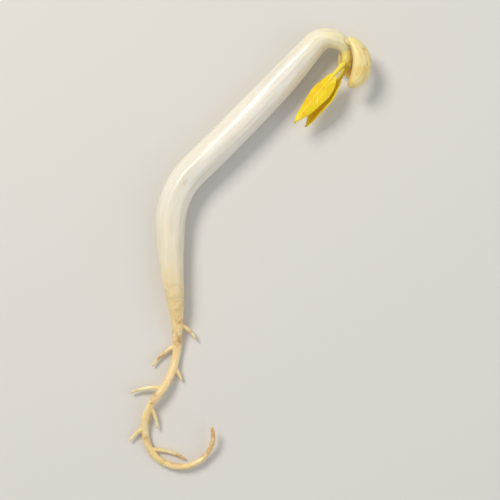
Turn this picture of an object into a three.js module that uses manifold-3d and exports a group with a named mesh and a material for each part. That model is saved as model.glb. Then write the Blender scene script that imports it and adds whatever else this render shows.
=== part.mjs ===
// A mung bean sprout lying on its side, in millimetres.
// X runs to the right, Y runs from the root up to the crook, and Z stands up from the surface it lies on.
// The origin is on that surface, under the middle of the sprout's box.

import * as THREE from 'three';
import { mergeVertices } from 'three/addons/utils/BufferGeometryUtils.js';
import Module from 'manifold-3d';

// The collar is where the stem meets the root. The stem grows from it, heading a little left of +Y.
const COLLAR = new THREE.Vector3(-9.38, -5.95, 1.86);
const STEM_HEADING = 97;

// The crook turns the sprout's head right round, on this radius.
const CROOK_RADIUS = 2.3;
const CROOK_QUARTER = CROOK_RADIUS * Math.PI / 2;

// How the shoot grows: each stretch has its length, its turn to the left in degrees and its rise.
const STEM_STRETCHES = [
  { length: 8.8, turn: -6, rise: 0 },
  { length: 8.0, turn: -47, rise: 0 },
  { length: 15.5, turn: 3, rise: 0 },
  { length: 6.2, turn: 1, rise: 0.35 },
  { length: CROOK_QUARTER, turn: -90, rise: 0.7 },
];
const EPICOTYL_STRETCH = { length: CROOK_QUARTER, turn: -88, rise: -0.1 };

// The stem's half thickness at distances from the collar, and then at distances back from the node.
const STEM_KNOTS = [[1.12, 0], [1.24, 0.8], [1.53, 3.5], [1.86, 9], [2.0, 17], [2.03, 25], [1.89, 33]];
const STEM_END_KNOTS = [[1.56, 3.6], [1.25, 1.2], [1.12, 0]];
const STEM_RINGS = 40;

// How the root grows, down from the collar, and its half thickness at distances from it.
const ROOT_STRETCHES = [
  { length: 7.0, turn: -12, rise: -1.3 },
  { length: 6.0, turn: -38, rise: 0.75 },
  { length: 6.5, turn: 62, rise: -0.75 },
  { length: 8.5, turn: 112, rise: 0.35 },
  { length: 4.5, turn: 66, rise: 0.9 },
];
const ROOT_KNOTS = [[1.07, 0.3], [0.95, 1.5], [0.69, 4], [0.5, 9], [0.45, 19.5], [0.3, 31.7], [0.15, 32.5]];
const ROOT_RINGS = 52;

// Side roots leave the taproot one after the other, to the left and right in turn.
const SIDE_ROOTS = 7;
const SIDE_ROOT_FIRST = 3.2;
const SIDE_ROOT_SPACING = 2.9;
const SIDE_ROOT_LENGTH = 3.4;
const SIDE_ROOT_SPREAD = 1.3;
const SIDE_ROOT_PACE = 2.4;
const SIDE_ROOT_RADIUS = 0.3;
const SIDE_ROOT_ANGLE = 62;
const SIDE_ROOT_BEND = 34;
const SIDE_ROOT_LOW_POINT = 0.45;
const SIDE_ROOT_DROP = 0.7;
const SIDE_ROOT_RINGS = 5;

// The epicotyl carries the pair of first leaves and ends in a tiny bud.
const EPICOTYL_START = 0.45;
const EPICOTYL_RADIUS = 0.68;
const EPICOTYL_TOP_RADIUS = 0.78;
const BUD_RADIUS = 0.28;
const BUD_LENGTH = 0.9;
const EPICOTYL_RINGS = 14;

// Seed leaves: around is where each is fixed on the node, 0 on the crook's outside and 90 on top.
const SEED_LEAVES = [
  { name: 'cotyledon_outer', around: 34, length: 6.8, width: 3.3, thickness: 1.6, turn: -84, rise: -0.5 },
  { name: 'cotyledon_lower', around: -104, length: 4.8, width: 2.7, thickness: 1.1, turn: -34, rise: -0.85 },
];
const SEED_LEAF_START = 0.3;
const SEED_LEAF_OFFSET = 1.28;
const SEED_LEAF_FLATNESS = 0.28;
const SEED_LEAF_BOW = 0.55;
const SEED_LEAF_BASE_FULLNESS = 0.72;
const SEED_LEAF_FULL_FROM = 0.55;
const SEED_LEAF_RUCK = 0.12;
const SEED_LEAF_RUCKS = 7;
const SEED_LEAF_RUCK_SLANT = 2;

// First leaves: roll turns each round the head's axis, 0 with its back up.
const FIRST_LEAVES = [
  { name: 'first_leaf_upper', roll: -24, length: 9.2, width: 2.5, turn: 3, swing: -3, open: 0.35 },
  { name: 'first_leaf_lower', roll: 152, length: 8.6, width: 2.4, turn: -2, swing: 3.5, open: 0.15 },
];
const FIRST_LEAF_OFFSET = 0.72;
const FIRST_LEAF_THICKNESS = 0.62;
const FIRST_LEAF_TAPER = 0.78;
const FIRST_LEAF_BLUNTNESS = 0.85;
const FIRST_LEAF_OPEN_SPAN = 0.6;
const FIRST_LEAF_FOLD = 0.42;
const FOLD_SOFTNESS = 0.2;
const FOLD_ENDS_FROM = 0.8;
const FIRST_LEAF_WAVE = 0.1;
const FIRST_LEAF_WAVES = 15;
const PETIOLE_SHARE = 0.14;
const PETIOLE_RADIUS = 0.34;
const LEAF_TIP_HALF_WIDTH = 0.16;

const WALK_STEP = 0.5;
const TUBE_SIDES = 18;
const STALK_SIDES = 12;
const THREAD_SIDES = 9;
const SIDE_ROOT_SIDES = 6;
const SURFACE_SIZE = 200;
const SURFACE_DEPTH = 10;

const UP = new THREE.Vector3(0, 0, 1);
const { degToRad, radToDeg, smoothstep, lerp, clamp } = THREE.MathUtils;

const PEARL = { color: 0xf3ecdc, roughness: 0.35, metalness: 0 };
const CREAM = { color: 0xf2dc96, roughness: 0.5, metalness: 0 };
const PALE_STALK = { color: 0xf1e6b4, roughness: 0.42, metalness: 0 };
const BRIGHT_YELLOW = { color: 0xf5cf16, roughness: 0.45, metalness: 0 };
const AMBER_TAN = { color: 0xd9b26c, roughness: 0.6, metalness: 0 };

const wasm = await Module();
wasm.setup();

// Walks stretch by stretch from a start point and returns the curve walked.
function walk(start, headingDegrees, stretches) {
  const here = start.clone();
  const points = [here.clone()];
  let heading = degToRad(headingDegrees);
  for (const { length, turn, rise } of stretches) {
    const steps = Math.ceil(length / WALK_STEP);
    const turnStep = degToRad(turn) / steps;
    for (let step = 1; step <= steps; step += 1) {
      heading += turnStep / 2;
      here.x += Math.cos(heading) * length / steps;
      here.y += Math.sin(heading) * length / steps;
      here.z += rise * (smoothstep(step / steps, 0, 1) - smoothstep((step - 1) / steps, 0, 1));
      heading += turnStep / 2;
      points.push(here.clone());
    }
  }
  return new THREE.CatmullRomCurve3(points);
}

// The point, the heading and the side and top directions of a spine at a distance along it.
// Roll turns side and top round the spine.
function frameAt(spine, distance, rollDegrees = 0) {
  const share = clamp(distance / spine.getLength(), 0, 1);
  const tangent = spine.getTangentAt(share);
  const roll = degToRad(rollDegrees);
  const side = new THREE.Vector3().crossVectors(tangent, UP).normalize().applyAxisAngle(tangent, -roll);
  const top = new THREE.Vector3().crossVectors(side, tangent);
  const heading = radToDeg(Math.atan2(tangent.y, tangent.x));
  return { point: spine.getPointAt(share), tangent, side, top, heading };
}

// Lays a straight piece on a spine: its Y runs along the spine, its X to the side and its Z to the top.
function layAlong(geometry, spine, rollDegrees = 0) {
  const spots = geometry.getAttribute('position');
  for (let index = 0; index < spots.count; index += 1) {
    const { point, side, top } = frameAt(spine, spots.getY(index), rollDegrees);
    point.addScaledVector(side, spots.getX(index)).addScaledVector(top, spots.getZ(index));
    spots.setXYZ(index, point.x, point.y, point.z);
  }
  return geometry;
}

// Merges shared corners and drops the triangles that a pole leaves without area.
function weld(geometry) {
  geometry.deleteAttribute('normal');
  geometry.deleteAttribute('uv');
  const welded = mergeVertices(geometry, 1e-4);
  const corners = welded.index.array;
  const kept = [];
  for (let first = 0; first < corners.length; first += 3) {
    const [a, b, c] = corners.slice(first, first + 3);
    if (a !== b && b !== c && c !== a) {
      kept.push(a, b, c);
    }
  }
  welded.setIndex(kept);
  return welded;
}

function toSolid(geometry) {
  const welded = weld(geometry);
  return new wasm.Manifold(new wasm.Mesh({
    numProp: 3,
    vertProperties: new Float32Array(welded.getAttribute('position').array),
    triVerts: new Uint32Array(welded.index.array),
  }));
}

function fromSolid(solid) {
  const { vertProperties, triVerts } = solid.getMesh();
  const geometry = new THREE.BufferGeometry();
  geometry.setAttribute('position', new THREE.BufferAttribute(vertProperties, 3));
  geometry.setIndex(new THREE.BufferAttribute(triVerts, 1));
  return geometry;
}

function namedMesh(name, geometry, finish) {
  geometry.computeVertexNormals();
  const mesh = new THREE.Mesh(geometry, new THREE.MeshStandardMaterial(finish));
  mesh.name = name;
  return mesh;
}

// A straight round piece along +Y, from knots of radius and distance, with a closed flat end at each end.
function turned(knots, rings, sides) {
  const profile = new THREE.SplineCurve(knots.map(([radius, along]) => new THREE.Vector2(radius, along)));
  const start = new THREE.Vector2(0, knots[0][1]);
  const end = new THREE.Vector2(0, knots[knots.length - 1][1]);
  return new THREE.LatheGeometry([start, ...profile.getSpacedPoints(rings), end], sides);
}

const stemLength = STEM_STRETCHES.reduce((sum, stretch) => sum + stretch.length, 0);
const shoot = walk(COLLAR, STEM_HEADING, [...STEM_STRETCHES, EPICOTYL_STRETCH]);

// The stem is cut level where its belly would dip below the surface, which is the flat it rests on.
function buildHypocotyl() {
  const endKnots = STEM_END_KNOTS.map(([radius, back]) => [radius, stemLength - back]);
  const straight = turned([...STEM_KNOTS, ...endKnots], STEM_RINGS, TUBE_SIDES);
  const surface = new THREE.BoxGeometry(SURFACE_SIZE, SURFACE_SIZE, SURFACE_DEPTH);
  surface.translate(0, 0, -SURFACE_DEPTH / 2);
  const stem = toSolid(layAlong(straight, shoot)).subtract(toSolid(surface));
  return namedMesh('hypocotyl', fromSolid(stem), PEARL);
}

// One side root, thinning to its end and bending back towards the tip of the taproot.
function buildSideRoot(root, number) {
  const hand = number % 2 === 0 ? 1 : -1;
  const base = frameAt(root, SIDE_ROOT_FIRST + number * SIDE_ROOT_SPACING);
  const length = SIDE_ROOT_LENGTH + SIDE_ROOT_SPREAD * Math.sin(SIDE_ROOT_PACE * number);
  const heading = base.heading + hand * SIDE_ROOT_ANGLE;
  const rise = (SIDE_ROOT_LOW_POINT - base.point.z) * SIDE_ROOT_DROP;
  const spine = walk(base.point, heading, [{ length, turn: -hand * SIDE_ROOT_BEND, rise }]);
  const knots = [[SIDE_ROOT_RADIUS, 0], [SIDE_ROOT_RADIUS, length * 0.6], [SIDE_ROOT_RADIUS * 0.6, length]];
  return toSolid(layAlong(turned(knots, SIDE_ROOT_RINGS, SIDE_ROOT_SIDES), spine));
}

function buildRoot() {
  const spine = walk(COLLAR, STEM_HEADING - 180, ROOT_STRETCHES);
  let root = toSolid(layAlong(turned(ROOT_KNOTS, ROOT_RINGS, THREAD_SIDES), spine));
  for (let number = 0; number < SIDE_ROOTS; number += 1) {
    root = root.add(buildSideRoot(spine, number));
  }
  return namedMesh('root', fromSolid(root), AMBER_TAN);
}

function buildEpicotyl() {
  const start = stemLength + EPICOTYL_START;
  const end = stemLength + EPICOTYL_STRETCH.length - BUD_LENGTH;
  const knots = [
    [EPICOTYL_RADIUS + 0.1, start],
    [EPICOTYL_RADIUS, start + 0.9],
    [EPICOTYL_TOP_RADIUS, end - 0.3],
    [EPICOTYL_TOP_RADIUS - 0.15, end],
    [BUD_RADIUS, end + 0.12],
    [BUD_RADIUS, end + BUD_LENGTH * 0.6],
    [BUD_RADIUS * 0.3, end + BUD_LENGTH],
  ];
  return namedMesh('epicotyl', weld(layAlong(turned(knots, EPICOTYL_RINGS, STALK_SIDES), shoot)), PALE_STALK);
}

// Half a bean: round on its back, almost flat on its face, with a bowed outline and shallow rucks.
function buildSeedLeaf({ name, around, length, width, thickness, turn, rise }) {
  const geometry = new THREE.SphereGeometry(1, 20, 16);
  const spots = geometry.getAttribute('position');
  for (let index = 0; index < spots.count; index += 1) {
    const along = spots.getY(index);
    const across = spots.getX(index);
    const outward = spots.getZ(index);
    const share = (1 + along) / 2;
    const fullness = lerp(SEED_LEAF_BASE_FULLNESS, 1, smoothstep(share, 0, SEED_LEAF_FULL_FROM));
    const phase = across * SEED_LEAF_RUCKS + along * SEED_LEAF_RUCK_SLANT;
    const ruck = SEED_LEAF_RUCK * Math.sin(phase) * (1 - along * along);
    const depth = outward > 0 ? outward * (thickness + ruck) : outward * thickness * SEED_LEAF_FLATNESS;
    const bow = SEED_LEAF_BOW * (along * along - 0.5);
    spots.setXYZ(index, across * width / 2 * fullness + bow, share * length, depth * fullness);
  }
  const roll = 90 - around;
  const node = frameAt(shoot, stemLength + SEED_LEAF_START, roll);
  const start = node.point.clone().addScaledVector(node.top, SEED_LEAF_OFFSET);
  const spine = walk(start, node.heading, [{ length, turn, rise }]);
  return namedMesh(name, weld(layAlong(geometry, spine, roll)), CREAM);
}

// Half width of a first leaf at a share of its length: a thin stalk, then a long pointed blade.
function leafHalfWidth(share, width) {
  const blade = clamp((share - PETIOLE_SHARE) / (1 - PETIOLE_SHARE), 0, 1);
  const outline = Math.sin(Math.PI * blade ** FIRST_LEAF_TAPER) ** FIRST_LEAF_BLUNTNESS;
  const least = lerp(PETIOLE_RADIUS, LEAF_TIP_HALF_WIDTH, blade);
  return least + (width / 2 - least) * outline;
}

// A blade folded along its midrib, with its back outwards and its edges a little waved.
function buildFirstLeaf({ name, roll, length, width, turn, swing, open }) {
  const geometry = new THREE.BoxGeometry(2, length, 2, 8, 20, 1).translate(0, length / 2, 0);
  const spots = geometry.getAttribute('position');
  for (let index = 0; index < spots.count; index += 1) {
    const across = spots.getX(index);
    const share = spots.getY(index) / length;
    const half = leafHalfWidth(share, width);
    const blade = smoothstep(share, PETIOLE_SHARE * 0.6, PETIOLE_SHARE * 2.2);
    const fold = FIRST_LEAF_FOLD * blade * (1 - smoothstep(share, FOLD_ENDS_FROM, 1));
    const crease = Math.hypot(across, FOLD_SOFTNESS);
    const slope = -fold * across / crease;
    const lean = Math.hypot(1, slope);
    const wave = FIRST_LEAF_WAVE * blade * across * across * Math.sin(share * FIRST_LEAF_WAVES + across);
    const bulge = open * Math.sin(Math.PI * share * FIRST_LEAF_OPEN_SPAN);
    const back = wave + bulge - fold * half * (crease - FOLD_SOFTNESS);
    const thick = spots.getZ(index) * FIRST_LEAF_THICKNESS / 2;
    spots.setXYZ(index, across * half - thick * slope / lean, spots.getY(index), back + thick / lean);
  }
  const base = frameAt(shoot, stemLength + EPICOTYL_STRETCH.length, roll);
  const start = base.point.clone().addScaledVector(base.top, FIRST_LEAF_OFFSET);
  const spine = walk(start, base.heading + swing, [{ length, turn, rise: 0 }]);
  return namedMesh(name, weld(layAlong(geometry, spine, roll)), BRIGHT_YELLOW);
}

const group = new THREE.Group();
group.add(buildHypocotyl(), buildRoot(), buildEpicotyl());
for (const seedLeaf of SEED_LEAVES) {
  group.add(buildSeedLeaf(seedLeaf));
}
for (const firstLeaf of FIRST_LEAVES) {
  group.add(buildFirstLeaf(firstLeaf));
}

export default group;
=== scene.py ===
"""Dresses the mung bean sprout: its skins, veins, down and bud, with its light and its camera.

Pieces are modelled in millimetres along the lines that the sprout grows on, and finished in metres. Sizes
are in millimetres, and angles in degrees, where nothing else is said.
"""

import logging
import math
import random
from dataclasses import dataclass, field
from enum import Enum
from typing import Callable, Sequence

import bmesh
import bpy
from mathutils import Matrix, Vector, kdtree, noise


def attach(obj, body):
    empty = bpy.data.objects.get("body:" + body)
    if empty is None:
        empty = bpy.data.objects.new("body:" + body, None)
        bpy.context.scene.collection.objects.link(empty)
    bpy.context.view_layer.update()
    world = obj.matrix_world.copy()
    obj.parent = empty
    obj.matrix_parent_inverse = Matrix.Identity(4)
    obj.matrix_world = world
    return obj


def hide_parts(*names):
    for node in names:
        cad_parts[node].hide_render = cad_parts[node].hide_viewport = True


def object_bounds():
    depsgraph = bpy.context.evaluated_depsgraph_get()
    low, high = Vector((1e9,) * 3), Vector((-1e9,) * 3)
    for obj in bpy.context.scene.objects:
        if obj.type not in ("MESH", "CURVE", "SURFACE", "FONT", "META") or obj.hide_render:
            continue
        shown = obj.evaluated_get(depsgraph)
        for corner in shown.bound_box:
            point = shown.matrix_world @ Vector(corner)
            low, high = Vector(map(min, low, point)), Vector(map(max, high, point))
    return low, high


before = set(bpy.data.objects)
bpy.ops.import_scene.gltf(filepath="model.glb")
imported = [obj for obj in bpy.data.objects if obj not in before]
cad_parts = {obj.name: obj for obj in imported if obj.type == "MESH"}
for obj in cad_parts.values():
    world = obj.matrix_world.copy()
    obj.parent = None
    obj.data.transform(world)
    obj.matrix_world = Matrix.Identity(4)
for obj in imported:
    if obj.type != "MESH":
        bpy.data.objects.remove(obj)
CAD_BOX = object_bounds()

LOG = logging.getLogger("sprout")

# How many metres a millimetre is, and how far inside the sprout's box a hair stays, in metres.
MM = 0.001
BOX_MARGIN = 5e-5

# Corners nearer than this many millimetres are one, and lines are walked in steps of this many at most.
MERGE_DISTANCE = 1e-4
WALK_STEP = 0.1

FULL_TURN = 2.0 * math.pi
QUARTER_TURN = math.pi / 2.0
FULL_CIRCLE = 360.0
QUARTER_CIRCLE = 90.0
UP = Vector((0.0, 0.0, 1.0))

# A round end has this many rings, and a round pattern of unit radius holds about this many ripples.
CAP_RINGS = 6
RIPPLES_ON_UNIT_CIRCLE = 3.0

# A remeshed skin is smoothed by this share each time.
SMOOTHING_SHARE = 0.5

# A screen's tones run from 0 to the full one and follow this curve.
FULL_TONE = 255.0
TONE_OFFSET = 0.055
TONE_POWER = 2.4

# Where a mix node keeps its factor, its two colours and its mixed colour.
MIX_FACTOR = 0
MIX_FIRST = 6
MIX_SECOND = 7
MIX_RESULT = 2

Colour = tuple[float, float, float, float]
Pair = tuple[float, float]
Triple = tuple[float, float, float]
Knots = Sequence[Pair]
Relief = Callable[[float, float], float]


class Slot(Enum):
    """The record's material slots."""

    STEM = "stem_skin"
    ROOT = "root_skin"
    STALK = "stalk_skin"
    SEED_LEAF = "seed_leaf_skin"
    FIRST_LEAF = "first_leaf_skin"


class Layer(Enum):
    """The attributes that the finishes read from a piece."""

    ALONG = "along"
    EDGE = "edge"
    # A first leaf's veins; on a seed leaf, the mask of painted shade in its wrinkles and hollow.
    VEIN = "vein"
    GRAIN = "grain"


def tone(red: int, green: int, blue: int) -> Colour:
    """Turns a colour as a screen shows it into the linear one that a shader takes.

    Args:
        red: Red, from 0 to 255.
        green: Green, from 0 to 255.
        blue: Blue, from 0 to 255.

    Returns:
        The linear colour with full alpha.
    """
    shares = [part / FULL_TONE for part in (red, green, blue)]
    linear = [((share + TONE_OFFSET) / (1.0 + TONE_OFFSET)) ** TONE_POWER for share in shares]
    return (linear[0], linear[1], linear[2], 1.0)


def blend(low: float, high: float, share: float) -> float:
    """Returns the value at a share of the way from low to high."""
    return low + (high - low) * share


def clamp(value: float, low: float = 0.0, high: float = 1.0) -> float:
    """Returns the value held between low and high."""
    return max(low, min(high, value))


def ease(value: float, low: float, high: float) -> float:
    """Rises smoothly from 0 to 1 as a value goes from low to high.

    Args:
        value: The value.
        low: Where the rise starts.
        high: Where the rise ends.

    Returns:
        The eased share, from 0 to 1.
    """
    share = clamp((value - low) / (high - low))
    return share * share * (3.0 - 2.0 * share)


def hill(distance: float, width: float) -> float:
    """Returns a smooth hill of height 1 at distance 0, with the given width."""
    return math.exp(-(distance / width) ** 2)


def moved(knots: Knots, distance: float) -> list[Pair]:
    """Returns knots moved along their piece by a distance."""
    return [(spot + distance, half) for spot, half in knots]


@dataclass(frozen=True)
class Ripple:
    """A smooth random relief on a round skin.

    Attributes:
        height: Its height in millimetres.
        around: How many ripples there are round the piece, about.
        pitch: The length of a ripple in millimetres.
        seed: What sets this relief apart from another.
    """

    height: float
    around: float
    pitch: float
    seed: float = 0.0

    def at(self, angle: float, along: float) -> float:
        """The rise at a place on the skin.

        Args:
            angle: The angle round the piece, in radians.
            along: The distance along it, in millimetres.

        Returns:
            The rise in millimetres, up or down.
        """
        reach = self.around / RIPPLES_ON_UNIT_CIRCLE
        side = math.cos(angle) * reach + self.seed
        top = math.sin(angle) * reach - self.seed
        return self.height * noise.noise(Vector((side, top, along / self.pitch)))


@dataclass(frozen=True)
class Stretch:
    """One stretch of growth.

    Attributes:
        length: Its length in millimetres.
        turn: Its turn to the left in degrees.
        rise: How far it climbs in millimetres.
    """

    length: float
    turn: float
    rise: float


class Spine:
    """The line that a piece grows along, walked stretch by stretch from a start point."""

    def __init__(self, start: Vector, heading: float, stretches: Sequence[Stretch]) -> None:
        """Walks the line.

        Args:
            start: Where the line starts, in millimetres.
            heading: The heading at the start, in degrees from +X to the left.
            stretches: The stretches to walk, in order.
        """
        self.points: list[Vector] = [start.copy()]
        self.headings: list[float] = [math.radians(heading)]
        self.marks: list[float] = [0.0]
        for stretch in stretches:
            self._walk(stretch)

    def _walk(self, stretch: Stretch) -> None:
        """Adds one stretch to the line.

        Args:
            stretch: The stretch to add.
        """
        steps = math.ceil(stretch.length / WALK_STEP)
        step_length = stretch.length / steps
        step_turn = math.radians(stretch.turn) / steps
        for step in range(1, steps + 1):
            middle = self.headings[-1] + step_turn / 2.0
            climbed = ease(step / steps, 0.0, 1.0) - ease((step - 1) / steps, 0.0, 1.0)
            move = Vector((
                math.cos(middle) * step_length,
                math.sin(middle) * step_length,
                stretch.rise * climbed,
            ))
            self.points.append(self.points[-1] + move)
            self.headings.append(self.headings[-1] + step_turn)
            self.marks.append(self.marks[-1] + move.length)

    @property
    def length(self) -> float:
        """The whole length of the line."""
        return self.marks[-1]

    def heading(self, distance: float) -> float:
        """The heading in degrees at a distance along the line."""
        return math.degrees(self.headings[self._step(distance)])

    def _step(self, distance: float) -> int:
        """The number of the step that a distance falls in.

        Args:
            distance: The distance from the start, in millimetres.

        Returns:
            The number of the step, the first or the last for a distance past the ends.
        """
        last = len(self.points) - 2
        step = min(int(clamp(distance / self.length) * (last + 1)), last)
        while step > 0 and self.marks[step] > distance:
            step -= 1
        while step < last and self.marks[step + 1] < distance:
            step += 1
        return step

    def frame(self, distance: float, roll: float = 0.0) -> Matrix:
        """The place and directions at a distance along the line, which may pass its ends.

        Args:
            distance: The distance from the start, in millimetres.
            roll: How far side and top are turned round the line, in degrees.

        Returns:
            A matrix whose X is the side, whose Y runs along the line and whose Z is the top.
        """
        step = self._step(distance)
        past = distance - self.marks[step]
        move = self.points[step + 1] - self.points[step]
        heading = blend(self.headings[step], self.headings[step + 1], clamp(past / move.length))
        flat = math.hypot(move.x, move.y)
        along = Vector((math.cos(heading) * flat, math.sin(heading) * flat, move.z)).normalized()
        side = along.cross(UP).normalized()
        top = side.cross(along)
        turn = math.radians(roll)
        rolled_side = side * math.cos(turn) + top * math.sin(turn)
        rolled_top = top * math.cos(turn) - side * math.sin(turn)
        turned_frame = Matrix((rolled_side, along, rolled_top)).transposed().to_4x4()
        turned_frame.translation = self.points[step] + move * (past / move.length)
        return turned_frame

    def lay(self, mesh: bmesh.types.BMesh, roll: float = 0.0) -> None:
        """Bends a straight piece onto the line: its Y runs along, its X to the side and its Z to the top.

        Args:
            mesh: The straight piece, which is changed.
            roll: How far the piece is turned round the line, in degrees.
        """
        for vertex in mesh.verts:
            across = Vector((vertex.co.x, 0.0, vertex.co.z))
            vertex.co = self.frame(vertex.co.y, roll) @ across


class Profile:
    """A half thickness that changes smoothly with the distance along a piece."""

    def __init__(self, *knots: Pair) -> None:
        """Keeps the knots and works out the slope at each.

        Args:
            *knots: Pairs of distance and half thickness, in order along the piece.
        """
        self.knots: Knots = knots
        last = len(knots) - 1
        self.slopes: list[float] = []
        for index in range(last + 1):
            before = knots[max(index - 1, 0)]
            after = knots[min(index + 1, last)]
            self.slopes.append((after[1] - before[1]) / (after[0] - before[0]))

    @property
    def start(self) -> float:
        """Where the piece starts."""
        return self.knots[0][0]

    @property
    def end(self) -> float:
        """Where the piece ends."""
        return self.knots[-1][0]

    def at(self, distance: float) -> float:
        """The half thickness at a distance along the piece.

        Args:
            distance: The distance, in millimetres.

        Returns:
            The half thickness, in millimetres.
        """
        distance = clamp(distance, self.start, self.end)
        index = 0
        while self.knots[index + 1][0] < distance:
            index += 1
        (start, first), (end, second) = self.knots[index], self.knots[index + 1]
        span = end - start
        share = (distance - start) / span
        pull = share * (1.0 - share) * span
        bend = self.slopes[index] * (1.0 - share) - self.slopes[index + 1] * share
        return blend(first, second, ease(share, 0.0, 1.0)) + pull * bend


def turned(profile: Profile, rings: int, sides: int, cap: float) -> bmesh.types.BMesh:
    """Spins a profile into a straight round piece along +Y with round ends.

    Args:
        profile: The half thickness along the piece.
        rings: The number of rings along it.
        sides: The number of sides round it.
        cap: The length of each round end.

    Returns:
        The piece, with its straight form kept in its ALONG and GRAIN layers.
    """
    mesh = bmesh.new()
    start, end = profile.start, profile.end
    stops = [blend(start + cap, end - cap, ring / rings) for ring in range(rings + 1)]
    for ring in range(1, CAP_RINGS):
        inset = cap * (1.0 - math.cos(QUARTER_TURN * ring / CAP_RINGS))
        stops += [start + inset, end - inset]
    corners = [mesh.verts.new((0.0, start, 0.0))]
    for stop in sorted(stops):
        nearness = clamp(min(stop - start, end - stop) / cap)
        roundness = math.sqrt(1.0 - (1.0 - nearness) ** 2)
        corners.append(mesh.verts.new((profile.at(stop) * roundness, stop, 0.0)))
    corners.append(mesh.verts.new((0.0, end, 0.0)))
    for corner, following in zip(corners, corners[1:]):
        mesh.edges.new((corner, following))
    bmesh.ops.spin(mesh, geom=mesh.verts[:] + mesh.edges[:], cent=(0.0, 0.0, 0.0), axis=(0.0, 1.0, 0.0),
                   dvec=(0.0, 0.0, 0.0), angle=FULL_TURN, steps=sides, use_merge=True)
    bmesh.ops.remove_doubles(mesh, verts=mesh.verts[:], dist=MERGE_DISTANCE)
    bmesh.ops.recalc_face_normals(mesh, faces=mesh.faces[:])
    along = mesh.verts.layers.float.new(Layer.ALONG.value)
    for vertex in mesh.verts:
        vertex[along] = (vertex.co.y - start) / (end - start)
    keep_grain(mesh)
    return mesh


def keep_grain(mesh: bmesh.types.BMesh) -> None:
    """Keeps a straight piece's own coordinates in its GRAIN layer, before the piece is bent.

    Args:
        mesh: The straight piece, which gets the layer.
    """
    grain = mesh.verts.layers.float_vector.new(Layer.GRAIN.value)
    for vertex in mesh.verts:
        vertex[grain] = vertex.co.copy()


def swell(mesh: bmesh.types.BMesh, relief: Relief) -> None:
    """Moves the skin of a straight round piece in and out, less where it is under a millimetre in radius.

    Args:
        mesh: The straight piece along +Y, which is changed.
        relief: Gives the move outwards for an angle round the piece and a distance along it.
    """
    for vertex in mesh.verts:
        radius = math.hypot(vertex.co.x, vertex.co.z)
        if radius > MERGE_DISTANCE:
            angle = math.atan2(vertex.co.z, vertex.co.x)
            scale = 1.0 + relief(angle, vertex.co.y) * min(1.0, radius) / radius
            vertex.co.x *= scale
            vertex.co.z *= scale


def in_box(spot: Vector) -> bool:
    """Tells whether a spot in millimetres lies well inside the sprout's box.

    Args:
        spot: The spot.

    Returns:
        True where it is a little inside every side.
    """
    low, high = CAD_BOX
    return all(low[axis] + BOX_MARGIN < spot[axis] * MM < high[axis] - BOX_MARGIN for axis in range(3))


def rest_on_surface(mesh: bmesh.types.BMesh) -> None:
    """Flattens what would dip below the surface that the sprout lies on."""
    for vertex in mesh.verts:
        vertex.co.z = max(vertex.co.z, 0.0)


def add_to(mesh: bmesh.types.BMesh, other: bmesh.types.BMesh) -> None:
    """Joins another mesh into a mesh and frees the other.

    Args:
        mesh: The mesh that grows.
        other: The mesh that is added, which is freed.
    """
    spare = bpy.data.meshes.new("spare")
    other.to_mesh(spare)
    other.free()
    mesh.from_mesh(spare)
    bpy.data.meshes.remove(spare)


def carry_layers(source: bmesh.types.BMesh, target: bmesh.types.BMesh) -> None:
    """Gives each corner of a mesh the layers of the nearest corner of another.

    Args:
        source: The mesh that has the layers.
        target: The mesh that gets them.
    """
    tree = kdtree.KDTree(len(source.verts))
    for index, vertex in enumerate(source.verts):
        tree.insert(vertex.co, index)
    tree.balance()
    source.verts.ensure_lookup_table()
    nearest = [source.verts[tree.find(vertex.co)[1]] for vertex in target.verts]
    for kind in ("float", "float_vector"):
        for layer in getattr(source.verts.layers, kind).values():
            copy = getattr(target.verts.layers, kind).new(layer.name)
            for vertex, match in zip(target.verts, nearest):
                vertex[copy] = match[layer]


def fused(mesh: bmesh.types.BMesh, voxel: float, smoothing: int = 2) -> bmesh.types.BMesh:
    """Remeshes overlapping shells into one smooth skin and carries their layers over.

    Args:
        mesh: The shells, which are freed.
        voxel: The size of the remesh, in millimetres.
        smoothing: How many times the skin is smoothed.

    Returns:
        One closed skin.
    """
    spare = bpy.data.meshes.new("spare")
    mesh.to_mesh(spare)
    holder = bpy.data.objects.new("spare", spare)
    bpy.context.scene.collection.objects.link(holder)
    remesh = holder.modifiers.new("fuse", "REMESH")
    remesh.mode = "VOXEL"
    remesh.voxel_size = voxel
    evaluated = holder.evaluated_get(bpy.context.evaluated_depsgraph_get())
    skin = bmesh.new()
    skin.from_mesh(evaluated.to_mesh())
    evaluated.to_mesh_clear()
    bpy.data.objects.remove(holder)
    bpy.data.meshes.remove(spare)
    for _ in range(smoothing):
        bmesh.ops.smooth_vert(skin, verts=skin.verts[:], factor=SMOOTHING_SHARE,
                              use_axis_x=True, use_axis_y=True, use_axis_z=True)
    carry_layers(mesh, skin)
    mesh.free()
    return skin


def place(mesh: bmesh.types.BMesh, name: str, material: bpy.types.Material,
          nodes: Sequence[str] = ()) -> bpy.types.Object:
    """Turns a mesh in millimetres into a finished piece of the sprout.

    Args:
        mesh: The mesh, which is freed.
        name: The piece's name.
        material: Its finish.
        nodes: The CAD nodes that the piece stands for.

    Returns:
        The piece.
    """
    mesh.transform(Matrix.Scale(MM, 4))
    mesh.normal_update()
    data = bpy.data.meshes.new(name)
    mesh.to_mesh(data)
    mesh.free()
    data.polygons.foreach_set("use_smooth", [True] * len(data.polygons))
    data.materials.append(material)
    piece = bpy.data.objects.new(name, data)
    bpy.context.scene.collection.objects.link(piece)
    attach(piece, "root")
    if nodes:
        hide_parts(*nodes)
    return piece


@dataclass(frozen=True)
class Cloud:
    """How fine a pattern is on a skin, in marks to a millimetre of GRAIN or to a metre of object coordinates.

    Attributes:
        across: How fine it is across the piece.
        along: How fine it is along the piece.
        octaves: Its octaves.
        grit: How strong the finer octaves are.
    """

    across: float
    along: float
    octaves: float = 3.0
    grit: float = 0.5


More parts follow.
